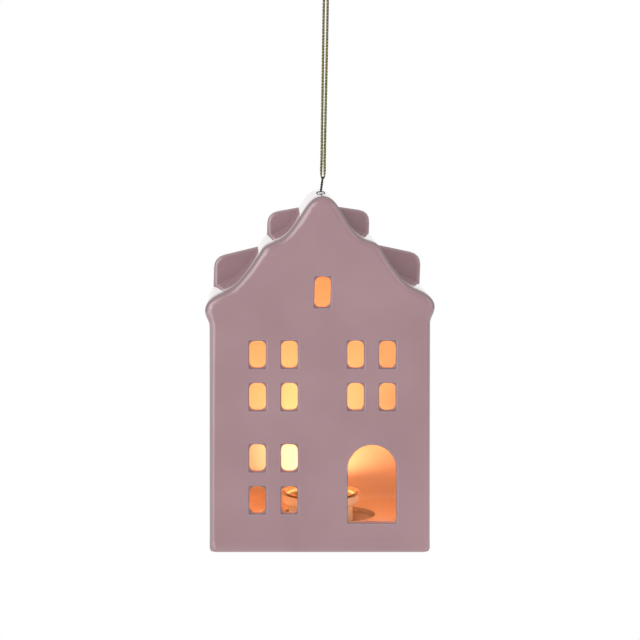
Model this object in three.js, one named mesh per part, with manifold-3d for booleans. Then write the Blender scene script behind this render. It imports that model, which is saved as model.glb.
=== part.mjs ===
// A hanging ceramic canal house with a battery light pushed into its floor from below.
// Millimetres, +Z up. The origin is the middle of the foot, and the front faces -Y.
import * as THREE from "three";
import { mergeVertices } from "three/addons/utils/BufferGeometryUtils.js";
import Module from "manifold-3d";

const wasm = await Module();
wasm.setup();

// The house's walls and roof
const WALL_HALF_WIDTH = 53.45; // half the width across the side walls
const DEPTH = 81; // front face to rear face
const RIDGE_Z = 172.5; // top of the roof
const WALL = 4.5; // fired thickness of walls and roof
const FRONT_EDGE_R = 3.5; // rounding of the front wall's edges
const FOOT_EDGE_R = 1.8; // rounding round the foot
const FLOOR_Z = 11.3; // top of the room's floor
const FLOOR_THICKNESS = 5;
const FOOT_RING = 8; // width of the ring that the house stands on
const FOOT_CORNER_R = 6; // corners of the hollow inside the foot
const COVE_R = 5; // inside corners of the room

// The gable's outline, from the ridge down: how far each stretch drops, and where it ends
const CROWN_DROP = 9.1;
const CROWN_X = 10.3; // flank of the bell's crown
const BELL_DROP = 12.4;
const BELL_X = 22; // where the bell flares out flattest
const STEP_DROP = 4.3;
const STEP_X = 29; // below the small step under the bell
const SWEEP_DROP = 12.6;
const SWEEP_IN = 16; // lower sweep, measured in from the wall
const FLARE_DROP = 6.7;
const FLARE_IN = 8.3; // where the lower sweep flares out flattest
const EAVES_DROP = 9.6;
const EAVES_OUT = 2.2; // how far the eaves stand out from the wall
const EAVES_FOOT_DROP = 7.5; // down to where the eaves meet the wall

// The stepped gable that stands above the roof at the back
const LOWER_TIER_DROP = 28.2; // its top edge at the roof, below the ridge
const LOWER_TIER_FALL = 6.1; // how much lower the top edge is at its outer end
const UPPER_TIER_HALF_WIDTH = 26.4;
const UPPER_TIER_DROP = 7.5;
const UPPER_TIER_FALL = 4.3;
const TIER_THICKNESS = 4;
const TIER_CORNER_R = 5.5;
const REAR_EDGE_R = 1.9; // rounding of the thin gable's edges, and of the rear wall's

// The cast gable stands a little askew: its ridge to the right, its right side higher
const GABLE_LEAN = 1.3;
const GABLE_TILT = 0.015; // height gained for each mm to the right

// Windows and door in the front wall
const WINDOW_WIDTH = 7.9;
const WINDOW_HEIGHT = 13.2;
const WINDOW_CORNER_R = 2.9;
const RECESS_MARGIN = 0.45; // the square-cornered recess round each hole
const RECESS_DEPTH = 1.1;
const RECESS_CORNER_R = 1;
const LEFT_PAIR_X = -22.45;
const RIGHT_PAIR_X = 24.95;
const PAIR_SPACING = 15.4;
const ROW_Z = [25.7, 46.1, 75.7, 96.2]; // window centres, from the ground floor up
const ATTIC_X = 1.05;
const ATTIC_Z = 126.4;
const ATTIC_WIDTH = 7.6;
const ATTIC_HEIGHT = 14.8;
const DOOR_X = 25.25;
const DOOR_WIDTH = 23.5;
const DOOR_SILL_Z = 14.6;
const DOOR_TOP_Z = 52.3;
const DOOR_CORNER_R = 1.2;

// The hole in the floor, and the light in it
const HEAD_D = 38.5; // the light's drum, above the floor
const HEAD_CORNER_R = 2.4; // under the drum
const LIGHT_X = 1.4; // the light stands this far to the right of the middle
const SOCKET_OFFSET = 3.7; // the floor's hole is this far to the right of the light
const SOCKET_GAP = 0.6; // between the drum and the hole's wall, where it is narrowest
const WAIST_IN = 3.25; // how much smaller the waist's radius is than the drum's
const HEAD_BOTTOM_Z = 16.7;
const LIP_TOP_Z = 23; // the dish's lip, on the drum's top
const FLANGE_OUT = 2.8; // how far the rim that stops the light reaches under the floor
const FLANGE_THICKNESS = 2.8;
const CASE_WALL = 1.2;
const CLEARANCE = 0.3; // between pieces that touch
const RING_RIB = 0.7; // how far the soft ring's ribs stand out
const RING_BELOW_FLOOR = 2.2;

// The dish and its lamp
const DISH_SHEET = 0.6;
const DISH_LIP_WIDTH = 1.6;
const DISH_LIP_GAP = 0.9; // groove between the lip and the drum
const DISH_HOLE_D = 6.6;
const DISH_DEPTH = 5.2;
const LAMP_D = 5;
const LAMP_FLANGE_D = 5.8;
const LAMP_FLANGE = 1;
const LAMP_HEIGHT = 8.6;
const LEAD_SPACING = 2.54;
const LEAD_WIDTH = 0.5;
const LEAD_STUB = 0.5; // lead left below the board

// The battery, its door, and the board above it
const BATTERY_THICKNESS = 3.2;
const BAY_CLEARANCE = 0.4; // round the battery
const BAY_WALL = 1.2;
const BAY_BITE = 0.4; // how far the bay's wall runs into the waist's
const LID_MARGIN = 1.2; // how far the lid reaches past the battery
const LID_THICKNESS = 1.6;
const LUG_OUT = 1.2; // bayonet lugs on the lid's rim
const LUG_THICKNESS = 0.8;
const LUG_ANGLE = 28; // degrees each lug covers
const LID_TURN = 45; // degrees from locked to open
const COIN_SLOT_WIDTH = 2;
const COIN_SLOT_DEPTH = 0.8;
const COIN_SLOT_SHARE = 0.62; // of the lid's width
const BOARD_THICKNESS = 1;
const BOARD_UNDER_Z = 11.4;
const SCREW_IN = 2.15; // the screws' distance from the waist's inner wall
const SCREW_BEARING = 51; // degrees round from the switch, each way
const SCREW_D = 1.7;
const SCREW_HEAD_D = 3.2;
const SCREW_HEAD = 1;
const SCREW_LENGTH = 4;
const BOSS_D = 3.8;

// The slide switch under the board
const SWITCH_GAP = 1.6; // to the waist's inner wall, and to the bay
const SWITCH_LENGTH = 8.6;
const SWITCH_WIDTH = 3.6;
const SWITCH_HEIGHT = 3.4;
const KNOB_WIDTH = 1.6;
const KNOB_LENGTH = 2.2;
const KNOB_TRAVEL = 2;
const KNOB_BELOW_BASE = 0.8;

// Contacts
const STRIP = 0.3; // sheet thickness
const NEGATIVE_STRIP_WIDTH = 4;
const POSITIVE_STRIP_WIDTH = 3;

// The wire in the ridge, and the cord in its eye
const WIRE_D = 0.6;
const WIRE_HOLE_D = 1.4;
const LEG_X = 2.1;
const LEG_LENGTH = 8;
const STALK_FOOT_GAP = 0.45; // roof to the lowest twist
const STALK_HEIGHT = 4.8;
const STALK_TURNS = 2;
const STRAND_GAP = 0.08;
const WIRE_LEAN = 1; // the eye stands this far to the right of the foot
const EYE_HALF_HEIGHT = 1.35;
const EYE_HALF_WIDTH = 1.35;
const EYE_TURN = 12; // degrees that the eye is turned from edge-on
const CORD_D = 1.4;

// The cord's loop from knot to eye to knot: [sideways from its middle, height above the fold]
const CORD_ROUTE = [
  [-0.85, 94],
  [-0.96, 90],
  [-0.97, 80],
  [-0.94, 68],
  [-0.9, 56],
  [-0.87, 44],
  [-0.84, 32],
  [-0.81, 22],
  [-0.78, 13],
  [-0.79, 8],
  [-0.9, 4.2],
  [-1.09, 1.7],
  [-0.84, 0.44],
  [0, 0],
  [0.84, 0.44],
  [1.09, 1.7],
  [0.9, 4.2],
  [0.79, 8],
  [0.78, 13],
  [0.81, 22],
  [0.84, 32],
  [0.87, 44],
  [0.9, 56],
  [0.94, 68],
  [0.97, 80],
  [0.96, 90],
  [0.85, 94],
];
const CORD_LEAN = 0.0165; // x gained for each mm of height
const FOLD_GAP = 0.1; // between the cord's fold and the wire over it
const KNOT_R = 1.9; // the knot's ring, to the middle of its strand
const KNOT_STRAND_R = 0.76;
const TAIL_LENGTH = 6;

const FLOOR_UNDER_Z = FLOOR_Z - FLOOR_THICKNESS;
const EAVES_Z =
  RIDGE_Z - CROWN_DROP - BELL_DROP - STEP_DROP - SWEEP_DROP - FLARE_DROP - EAVES_DROP;
const FRONT_Y = -DEPTH / 2;
const REAR_Y = DEPTH / 2;
const RIDGE_UNDER_Z = RIDGE_Z - WALL;
const HEAD_R = HEAD_D / 2;
const SOCKET_R = HEAD_R + SOCKET_GAP + SOCKET_OFFSET;
const SOCKET_X = LIGHT_X + SOCKET_OFFSET;
const RING_R = SOCKET_R - CLEARANCE;
const WAIST_R = HEAD_R - WAIST_IN;
const BORE_R = WAIST_R - CASE_WALL;
const FLANGE_R = SOCKET_R + FLANGE_OUT;
const SWITCH_X = BORE_R - SWITCH_GAP - SWITCH_WIDTH / 2;
const BAY_RIGHT_X = SWITCH_X - SWITCH_WIDTH / 2 - SWITCH_GAP;
const BAY_OUTER_R = (BAY_RIGHT_X + BORE_R + BAY_BITE) / 2;
const BATTERY_X = BAY_RIGHT_X - BAY_OUTER_R;
const BAY_R = BAY_OUTER_R - BAY_WALL;
const BATTERY_R = BAY_R - BAY_CLEARANCE; // 10 mm: a common flat cell
const LID_R = BATTERY_R + LID_MARGIN;
const SCREW_X = (BORE_R - SCREW_IN) * Math.cos(THREE.MathUtils.degToRad(SCREW_BEARING));
const SCREW_Y = (BORE_R - SCREW_IN) * Math.sin(THREE.MathUtils.degToRad(SCREW_BEARING));
const FLANGE_TOP_Z = FLOOR_UNDER_Z - CLEARANCE;
const BASE_Z = FLANGE_TOP_Z - FLANGE_THICKNESS;
const PAST = 1; // how far cutters run past the faces they cut

const material = (color, roughness, metalness = 0) =>
  new THREE.MeshStandardMaterial({ color, roughness, metalness });

const GLAZE = material(0xa7898c, 0.18);
const DARK_WIRE = material(0x4a4443, 0.45, 0.9);
const GOLD_THREAD = material(0xcdbf7a, 0.4, 0.7);
const PALE_PLASTIC = material(0xf2eee6, 0.45);
const METALLISED = material(0xe6c88a, 0.15, 1);
const SOFT_RUBBER = material(0x95704f, 0.7);
const LAMP_EPOXY = material(0xffe2a8, 0.15);
const BOARD_GREEN = material(0x2f6b3c, 0.6);
const STEEL = material(0xb9bbbd, 0.3, 1);
const BLACK_PLASTIC = material(0x222222, 0.5);

// The closed solid of a geometry, ready for cutting and joining
function solidOf(geometry) {
  const bare = geometry.clone();
  for (const name of ["normal", "uv"]) bare.deleteAttribute(name);
  const merged = mergeVertices(bare, 1e-3);
  return new wasm.Manifold(
    new wasm.Mesh({
      numProp: 3,
      vertProperties: new Float32Array(merged.attributes.position.array),
      triVerts: new Uint32Array(merged.index.array),
    }),
  );
}

function geometryOf(solid) {
  const mesh = solid.getMesh();
  const geometry = new THREE.BufferGeometry();
  geometry.setAttribute("position", new THREE.BufferAttribute(mesh.vertProperties, 3));
  geometry.setIndex(new THREE.BufferAttribute(mesh.triVerts, 1));
  geometry.computeVertexNormals();
  return geometry;
}

const joined = (solids) => solids.reduce((all, one) => all.add(one));
const cutFrom = (body, cutters) => cutters.reduce((left, cutter) => left.subtract(cutter), body);

function extruded(shape, length, edgeR, edgeSteps) {
  return new THREE.ExtrudeGeometry(shape, {
    depth: length - 2 * edgeR,
    bevelEnabled: edgeR > 0,
    bevelThickness: edgeR,
    bevelSize: edgeR,
    bevelOffset: -edgeR,
    bevelSegments: edgeSteps,
    curveSegments: 4,
  });
}

// A shape drawn in x and z, as a solid from one y to another
function alongY(shape, fromY, toY, edgeR = 0, edgeSteps = 3) {
  const geometry = extruded(shape, toY - fromY, edgeR, edgeSteps);
  return solidOf(geometry.rotateX(Math.PI / 2).translate(0, toY - edgeR, 0));
}

// A shape drawn in y and z, as a solid from one x to another
function alongX(shape, fromX, toX) {
  const geometry = extruded(shape, toX - fromX, 0, 1);
  return solidOf(geometry.rotateX(Math.PI / 2).rotateZ(Math.PI / 2).translate(fromX, 0, 0));
}

// A plan drawn in x and y, as a solid from one height to another
function upwards(shape, fromZ, toZ, edgeR = 0, edgeSteps = 2) {
  return solidOf(extruded(shape, toZ - fromZ, edgeR, edgeSteps).translate(0, 0, fromZ + edgeR));
}

// A rectangle with round corners, from its middle
function roundedRectangle(centreX, centreY, width, height, cornerR) {
  const [right, top] = [width / 2 - cornerR, height / 2 - cornerR];
  const corners = [
    [right, top, 0],
    [-right, top, Math.PI / 2],
    [-right, -top, Math.PI],
    [right, -top, 1.5 * Math.PI],
  ];
  const shape = new THREE.Shape();
  for (const [x, y, start] of corners)
    shape.absarc(centreX + x, centreY + y, cornerR, start, start + Math.PI / 2, false);
  return shape;
}

function cylinder(x, y, radius, fromZ, toZ, sides = 32) {
  const geometry = new THREE.CylinderGeometry(radius, radius, toZ - fromZ, sides);
  return solidOf(geometry.rotateX(Math.PI / 2).translate(x, y, (fromZ + toZ) / 2));
}

function block(x, y, fromZ, toZ, width, length) {
  const geometry = new THREE.BoxGeometry(width, length, toZ - fromZ);
  return solidOf(geometry.translate(x, y, (fromZ + toZ) / 2));
}

// A profile of [radius, z] points, turned about the vertical through x and y
function turned(profile, sides = 40, x = 0, y = 0) {
  const points = profile.map(([radius, z]) => new THREE.Vector2(radius, z));
  return solidOf(new THREE.LatheGeometry(points, sides).rotateX(Math.PI / 2).translate(x, y, 0));
}

// A round tube along points, on a smooth curve with equal steps from each point to the next
function tube(points, radius, stepsPerPoint, sides) {
  const curve = new THREE.CatmullRomCurve3(points, false, "centripetal");
  curve.getUtoTmapping = (share) => share;
  const steps = stepsPerPoint * (points.length - 1);
  const section = new THREE.Shape();
  for (let i = 0; i < sides; i++) {
    const angle = (2 * Math.PI * i) / sides;
    const [x, y] = [radius * Math.cos(angle), radius * Math.sin(angle)];
    if (i === 0) section.moveTo(x, y);
    else section.lineTo(x, y);
  }
  return new THREE.ExtrudeGeometry(section, { steps, extrudePath: curve, bevelEnabled: false });
}

// One smooth stretch between two stations of the outline. fall is the downward slope in degrees
function sweep(from, to) {
  const reach = 0.37 * Math.hypot(to.x - from.x, to.z - from.z);
  const heading = ({ fall }) => [
    Math.cos(THREE.MathUtils.degToRad(fall)) * reach,
    -Math.sin(THREE.MathUtils.degToRad(fall)) * reach,
  ];
  const [outX, outZ] = heading(from);
  const [inX, inZ] = heading(to);
  return new THREE.CubicBezierCurve(
    new THREE.Vector2(from.x, from.z),
    new THREE.Vector2(from.x + outX, from.z + outZ),
    new THREE.Vector2(to.x - inX, to.z - inZ),
    new THREE.Vector2(to.x, to.z),
  );
}

// Right half of the roof's outline, from the ridge down to where the eaves meet the wall
function roofHalf(stepsPerSweep) {
  const stations = [{ x: 0, z: RIDGE_Z, fall: 0 }];
  const addStation = (x, drop, fall) =>
    stations.push({ x, z: stations[stations.length - 1].z - drop, fall });
  addStation(CROWN_X, CROWN_DROP, 58);
  addStation(BELL_X, BELL_DROP, 19);
  addStation(STEP_X, STEP_DROP, 60);
  addStation(WALL_HALF_WIDTH - SWEEP_IN, SWEEP_DROP, 51);
  addStation(WALL_HALF_WIDTH - FLARE_IN, FLARE_DROP, 24);
  addStation(WALL_HALF_WIDTH + EAVES_OUT, EAVES_DROP, 90);
  addStation(WALL_HALF_WIDTH, EAVES_FOOT_DROP, 90);
  const points = [new THREE.Vector2(0, RIDGE_Z)];
  for (let i = 1; i < stations.length; i++)
    points.push(...sweep(stations[i - 1], stations[i]).getPoints(stepsPerSweep).slice(1));
  return points;
}

// The closed outline of a half, with its mirror image, down to a flat bottom
function outlineOf(half, bottomZ) {
  const last = half[half.length - 1];
  const right = [...half.slice(1), new THREE.Vector2(last.x, bottomZ)];
  const left = right.map(({ x, y }) => new THREE.Vector2(-x, y)).reverse();
  return [...left, half[0], ...right];
}

// The half outline moved inwards by the wall, without the points that come too near
function innerHalf(half, wall) {
  const outer = outlineOf(half, FLOOR_Z);
  const moved = half.map((point, i) => {
    const before = half[Math.max(i - 1, 0)];
    const after = half[Math.min(i + 1, half.length - 1)];
    const along = after.clone().sub(before).normalize();
    return i === 0
      ? new THREE.Vector2(0, point.y - wall)
      : new THREE.Vector2(point.x + along.y * wall, point.y - along.x * wall);
  });
  const clearOf = (point) =>
    outer.slice(0, -1).every((start, i) => {
      const side = new THREE.Line3(
        new THREE.Vector3(start.x, start.y, 0),
        new THREE.Vector3(outer[i + 1].x, outer[i + 1].y, 0),
      );
      const spot = new THREE.Vector3(point.x, point.y, 0);
      return side.closestPointToPoint(spot, true, new THREE.Vector3()).distanceTo(spot) > 0.985 * wall;
    });
  return moved.filter((point, i) => i === 0 || clearOf(point));
}

// One tier of the rear gable, with its two outer corners rounded
function tierShape(halfWidth, topZ, fall) {
  const shape = new THREE.Shape();
  const footZ = EAVES_Z;
  const cornerZ = topZ - fall;
  const slope = (fall / halfWidth) * TIER_CORNER_R;
  shape.moveTo(-halfWidth, footZ);
  shape.lineTo(halfWidth, footZ);
  shape.lineTo(halfWidth, cornerZ - TIER_CORNER_R);
  shape.quadraticCurveTo(halfWidth, cornerZ, halfWidth - TIER_CORNER_R, cornerZ + slope);
  shape.lineTo(0, topZ);
  shape.lineTo(-halfWidth + TIER_CORNER_R, cornerZ + slope);
  shape.quadraticCurveTo(-halfWidth, cornerZ, -halfWidth, cornerZ - TIER_CORNER_R);
  return shape;
}

// Walls and roof on a foot. Each end has its own edge rounding, and the far end of the longer
// solid it comes from is cut off by the other.
function houseBlock() {
  const footTop = 2 * FOOT_EDGE_R;
  const outline = new THREE.Shape(outlineOf(roofHalf(7), footTop));
  const fromFront = alongY(outline, FRONT_Y, REAR_Y + DEPTH, FRONT_EDGE_R);
  const fromRear = alongY(outline, FRONT_Y - DEPTH, REAR_Y, REAR_EDGE_R);
  const footOf = (middleY, length, cornerR) =>
    upwards(
      roundedRectangle(0, middleY, 2 * WALL_HALF_WIDTH, length, cornerR),
      0,
      footTop + 2 * FOOT_EDGE_R,
      FOOT_EDGE_R,
    );
  const foot = footOf(DEPTH / 2, 2 * DEPTH, FRONT_EDGE_R).intersect(
    footOf(-DEPTH / 2, 2 * DEPTH, REAR_EDGE_R),
  );
  const below = block(0, 0, -PAST, footTop, 4 * WALL_HALF_WIDTH, 2 * DEPTH);
  return fromFront.intersect(fromRear).subtract(below).add(foot);
}

// The thin stepped gable above the rear wall
function rearGable() {
  const lower = tierShape(
    WALL_HALF_WIDTH,
    RIDGE_Z - LOWER_TIER_DROP + LOWER_TIER_FALL,
    2 * LOWER_TIER_FALL,
  );
  const upper = tierShape(
    UPPER_TIER_HALF_WIDTH,
    RIDGE_Z - UPPER_TIER_DROP,
    UPPER_TIER_FALL,
  );
  return joined(
    [lower, upper].map((shape) => alongY(shape, REAR_Y - TIER_THICKNESS, REAR_Y, REAR_EDGE_R)),
  );
}

// The room inside, with coves where its faces meet
function room() {
  const half = innerHalf(roofHalf(6), WALL);
  const overRidge = RIDGE_Z + 2 * COVE_R;
  const middleZ = (FLOOR_Z + overRidge) / 2;
  const height = overRidge - FLOOR_Z;
  const innerDepth = DEPTH - 2 * WALL;
  const innerWidth = 2 * (WALL_HALF_WIDTH - WALL);
  const wide = 2 * (WALL_HALF_WIDTH + EAVES_OUT);
  const across = alongY(new THREE.Shape(outlineOf(half, FLOOR_Z)), FRONT_Y, REAR_Y);
  const fromSide = alongX(
    roundedRectangle(0, middleZ, innerDepth, height, COVE_R),
    -wide,
    wide,
  );
  const fromFront = alongY(
    roundedRectangle(0, middleZ, wide, height, COVE_R),
    FRONT_Y,
    REAR_Y,
  );
  const fromTop = upwards(
    roundedRectangle(0, 0, innerWidth + 2 * EAVES_OUT, innerDepth, COVE_R),
    0,
    overRidge,
  );
  return across.intersect(fromSide).intersect(fromFront).intersect(fromTop);
}

// A hole through the front wall, with a shallow square-cornered recess round its mouth
function windowCutter(x, z, width, height) {
  const hole = roundedRectangle(x, z, width, height, WINDOW_CORNER_R);
  const recess = roundedRectangle(
    x,
    z,
    width + 2 * RECESS_MARGIN,
    height + 2 * RECESS_MARGIN,
    RECESS_CORNER_R,
  );
  return alongY(hole, FRONT_Y - PAST, FRONT_Y + WALL + PAST).add(
    alongY(recess, FRONT_Y - PAST, FRONT_Y + RECESS_DEPTH),
  );
}

function windowCutters() {
  const columns = [LEFT_PAIR_X, RIGHT_PAIR_X].map((middle) => [
    middle - PAIR_SPACING / 2,
    middle + PAIR_SPACING / 2,
  ]);
  const cutters = [windowCutter(ATTIC_X, ATTIC_Z, ATTIC_WIDTH, ATTIC_HEIGHT)];
  ROW_Z.forEach((z, row) => {
    const besideDoor = row < 2;
    const open = besideDoor ? columns[0] : columns.flat();
    for (const x of open) cutters.push(windowCutter(x, z, WINDOW_WIDTH, WINDOW_HEIGHT));
  });
  return cutters;
}

// The arched doorway, margin wider all round
function archShape(margin) {
  const radius = DOOR_WIDTH / 2 + margin;
  const springZ = DOOR_TOP_Z - DOOR_WIDTH / 2;
  const sillZ = DOOR_SILL_Z - margin;
  const shape = new THREE.Shape();
  shape.moveTo(DOOR_X - radius + DOOR_CORNER_R, sillZ);
  shape.lineTo(DOOR_X + radius - DOOR_CORNER_R, sillZ);
  shape.quadraticCurveTo(DOOR_X + radius, sillZ, DOOR_X + radius, sillZ + DOOR_CORNER_R);
  for (let i = 0; i <= 20; i++) {
    const angle = (Math.PI * i) / 20;
    shape.lineTo(DOOR_X + radius * Math.cos(angle), springZ + radius * Math.sin(angle));
  }
  shape.lineTo(DOOR_X - radius, sillZ + DOOR_CORNER_R);
  shape.quadraticCurveTo(DOOR_X - radius, sillZ, DOOR_X - radius + DOOR_CORNER_R, sillZ);
  return shape;
}

function doorCutter() {
  return alongY(archShape(0), FRONT_Y - PAST, FRONT_Y + WALL + PAST).add(
    alongY(archShape(RECESS_MARGIN), FRONT_Y - PAST, FRONT_Y + RECESS_DEPTH),
  );
}

function house() {
  const footHollow = upwards(
    roundedRectangle(
      0,
      0,
      2 * (WALL_HALF_WIDTH - FOOT_RING),
      DEPTH - 2 * FOOT_RING,
      FOOT_CORNER_R,
    ),
    -PAST,
    FLOOR_UNDER_Z,
  );
  const socket = cylinder(SOCKET_X, 0, SOCKET_R, FLOOR_UNDER_Z - PAST, FLOOR_Z + PAST, 40);
  const wireHoles = [-LEG_X, LEG_X].map((x) =>
    cylinder(x, 0, WIRE_HOLE_D / 2, RIDGE_UNDER_Z - 2 * WALL, RIDGE_Z + PAST, 10),
  );
  const straight = cutFrom(houseBlock().add(rearGable()), [
    room(),
    footHollow,
    socket,
    ...wireHoles,
    ...windowCutters(),
    doorCutter(),
  ]);
  return straight.warp(standAskew);
}

// Moves one point as the gable leans and tilts. The lean grows from the eaves to the ridge, and
// the tilt from below the eaves to where they meet the wall.
function standAskew(point) {
  const [x, , z] = point;
  const share = (from, to) => THREE.MathUtils.clamp((z - from) / (to - from), 0, 1);
  const eavesFootZ = EAVES_Z - EAVES_FOOT_DROP;
  point[0] = x + GABLE_LEAN * share(EAVES_Z, RIDGE_Z);
  point[2] = z + GABLE_TILT * x * share(eavesFootZ - EAVES_FOOT_DROP, eavesFootZ);
}

// Height of the roof's inner face at a distance from the middle
function roofUnderZ(x) {
  const half = innerHalf(roofHalf(6), WALL);
  const next = half.findIndex((point) => point.x > x);
  const [before, after] = [half[next - 1], half[next]];
  return before.y + ((after.y - before.y) * (x - before.x)) / (after.x - before.x);
}

const STALK_FOOT_Z = RIDGE_Z + STALK_FOOT_GAP;
const EYE_Z = STALK_FOOT_Z + STALK_HEIGHT + EYE_HALF_HEIGHT;
const EYE_TOP_Z = EYE_Z + EYE_HALF_HEIGHT;
const leanAt = (z) => (WIRE_LEAN * (z - STALK_FOOT_Z)) / (EYE_TOP_Z - STALK_FOOT_Z);

// The wire: a leg under the ridge, up through the roof, twisted, round the eye and back down
function wirePoints() {
  const strandR = (WIRE_D + STRAND_GAP) / 2;
  const legZ = roofUnderZ(LEG_X + WIRE_D / 2) - WIRE_D / 2 - CLEARANCE;
  const turn = THREE.MathUtils.degToRad(EYE_TURN);
  const stepsPerTurn = 8;
  const leg = [
    new THREE.Vector3(LEG_X, LEG_LENGTH, legZ),
    new THREE.Vector3(LEG_X, LEG_LENGTH / 2, legZ),
    new THREE.Vector3(LEG_X, 1.2, legZ),
    new THREE.Vector3(LEG_X, 0.15, legZ + 1),
    new THREE.Vector3(LEG_X, 0, legZ + 2.4),
    new THREE.Vector3(LEG_X, 0, RIDGE_Z - 0.6),
    new THREE.Vector3(0.75 * LEG_X, 0, STALK_FOOT_Z - 0.03),
  ];
  const strand = [];
  for (let i = 0; i <= STALK_TURNS * stepsPerTurn; i++) {
    const angle = (2 * Math.PI * i) / stepsPerTurn;
    const z = STALK_FOOT_Z + (STALK_HEIGHT * i) / (STALK_TURNS * stepsPerTurn);
    const [x, y] = [strandR * Math.cos(angle), strandR * Math.sin(angle)];
    strand.push(new THREE.Vector3(x + leanAt(z), y, z));
  }
  const side = [];
  for (const angle of [25, 60, 90]) {
    const up = THREE.MathUtils.degToRad(angle) * 2 - Math.PI / 2;
    const out = EYE_HALF_WIDTH * Math.cos(up);
    const z = EYE_Z + EYE_HALF_HEIGHT * Math.sin(up);
    side.push(
      new THREE.Vector3(out * Math.sin(turn) + leanAt(z), out * Math.cos(turn), z),
    );
  }
  const first = [...leg, ...strand, ...side];
  const eyeTop = first.pop();
  const second = first.map(({ x, y, z }) => {
    const lean = z >= STALK_FOOT_Z ? leanAt(z) : 0;
    return new THREE.Vector3(2 * lean - x, -y, z);
  });
  return [...first, eyeTop, ...second.reverse()];
}

function cordPoints() {
  const foldZ = EYE_TOP_Z - WIRE_D / 2 - FOLD_GAP - CORD_D / 2;
  return CORD_ROUTE.map(
    ([side, height]) =>
      new THREE.Vector3(WIRE_LEAN + side + height * CORD_LEAN, 0, foldZ + height),
  );
}

// The knot at the loop's top, with the cord's two cut tails
function knot() {
  const ends = cordPoints();
  const [start, end] = [ends[0], ends[ends.length - 1]];
  const middleX = (start.x + end.x) / 2;
  const halfHeight = 1.5 * KNOT_R + KNOT_STRAND_R;
  const middleZ = start.z + CLEARANCE + halfHeight;
  const ring = new THREE.TorusKnotGeometry(KNOT_R, KNOT_STRAND_R, 42, 8, 2, 3)
    .rotateX(Math.PI / 2)
    .rotateY(Math.PI / 2)
    .translate(middleX, 0, middleZ);
  const tails = [-1, 1].map((side) => {
    const foot = new THREE.Vector3(middleX + side * 0.9, 0, middleZ + 0.5 * KNOT_R);
    const top = new THREE.Vector3(middleX + side * 2.2, side * 0.8, middleZ + TAIL_LENGTH);
    const bend = foot.clone().lerp(top, 0.5).add(new THREE.Vector3(-side * 0.35, 0, 0));
    return solidOf(tube([foot, bend, top], CORD_D / 2, 3, 8));
  });
  return joined([solidOf(ring), ...tails]);
}

// The light's case: drum and waist, open at the top, on a flange, with the battery bay below
function lightHousing() {
  const headTop = LIP_TOP_Z - DISH_SHEET - DISH_LIP_GAP;
  const shoulderZ = HEAD_BOTTOM_Z + HEAD_CORNER_R;
  const bayFloorZ = FLANGE_TOP_Z;
  const corner = [0, 30, 60, 90].map((degrees) => {
    const angle = THREE.MathUtils.degToRad(degrees);
    return [
      HEAD_R - HEAD_CORNER_R * (1 - Math.sin(angle)),
      HEAD_BOTTOM_Z + HEAD_CORNER_R * (1 - Math.cos(angle)),
    ];
  });
  const drum = turned([
    [0, BASE_Z],
    [WAIST_R, BASE_Z],
    [WAIST_R, HEAD_BOTTOM_Z],
    ...corner,
    [HEAD_R, headTop],
    [HEAD_R - CASE_WALL, headTop],
    [HEAD_R - CASE_WALL, shoulderZ],
    [BORE_R, shoulderZ],
    [BORE_R, bayFloorZ],
    [0, bayFloorZ],
  ]);
  const flange = turned(
    [
      [0, BASE_Z],
      [FLANGE_R - 0.6, BASE_Z],
      [FLANGE_R, BASE_Z + 0.6],
      [FLANGE_R, FLANGE_TOP_Z - 0.6],
      [FLANGE_R - 0.6, FLANGE_TOP_Z],
      [0, FLANGE_TOP_Z],
    ],
    48,
    SOCKET_OFFSET,
  );
  const shell = drum.add(flange);
  const bayTop = batteryBottomZ() + BATTERY_THICKNESS + 2 * CLEARANCE + STRIP;
  const reach = cylinder(0, 0, BORE_R + CASE_WALL / 2, bayFloorZ - 0.5, BOARD_UNDER_Z);
  const bayBlock = cylinder(BATTERY_X, 0, BAY_OUTER_R, bayFloorZ - 0.5, bayTop + BAY_WALL);
  const bosses = [-SCREW_Y, SCREW_Y].map((y) =>
    cylinder(SCREW_X, y, BOSS_D / 2, bayFloorZ - 0.5, BOARD_UNDER_Z - CLEARANCE, 16),
  );
  const inside = joined([bayBlock, ...bosses]).intersect(reach);
  const lugZ = BASE_Z + LID_THICKNESS - LUG_THICKNESS;
  const lugRoomR = LID_R + LUG_OUT + CLEARANCE;
  const cutters = [
    cylinder(BATTERY_X, 0, BAY_R, BASE_Z, bayTop),
    cylinder(BATTERY_X, 0, LID_R + CLEARANCE, BASE_Z - PAST, batteryBottomZ()),
    cylinder(BATTERY_X, 0, lugRoomR, lugZ - CLEARANCE, lugZ + LUG_THICKNESS + CLEARANCE),
    ...bayonetNotches(lugRoomR, BASE_Z - PAST, lugZ + LUG_THICKNESS),
    ...[-SCREW_Y, SCREW_Y].map((y) =>
      cylinder(
        SCREW_X,
        y,
        SCREW_D / 2 + CLEARANCE,
        BOARD_UNDER_Z - SCREW_LENGTH - CLEARANCE,
        BOARD_UNDER_Z + PAST,
        10,
      ),
    ),
    block(
      SWITCH_X,
      0,
      BASE_Z - PAST,
      bayFloorZ + PAST,
      KNOB_WIDTH + 2 * CLEARANCE,
      KNOB_LENGTH + KNOB_TRAVEL + 2 * CLEARANCE,
    ),
    block(
      BATTERY_X,
      0,
      bayTop - PAST,
      bayTop + BAY_WALL + PAST,
      2 * STRIP + 2,
      NEGATIVE_STRIP_WIDTH + 2 * CLEARANCE,
    ),
    block(
      BATTERY_X,
      BAY_R,
      batteryBottomZ(),
      bayTop + BAY_WALL + PAST,
      POSITIVE_STRIP_WIDTH + 2 * CLEARANCE,
      2 * (STRIP + CLEARANCE),
    ),
  ];
  return cutFrom(shell.add(inside), cutters);
}

const batteryBottomZ = () => BASE_Z + LID_THICKNESS + CLEARANCE;

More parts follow.
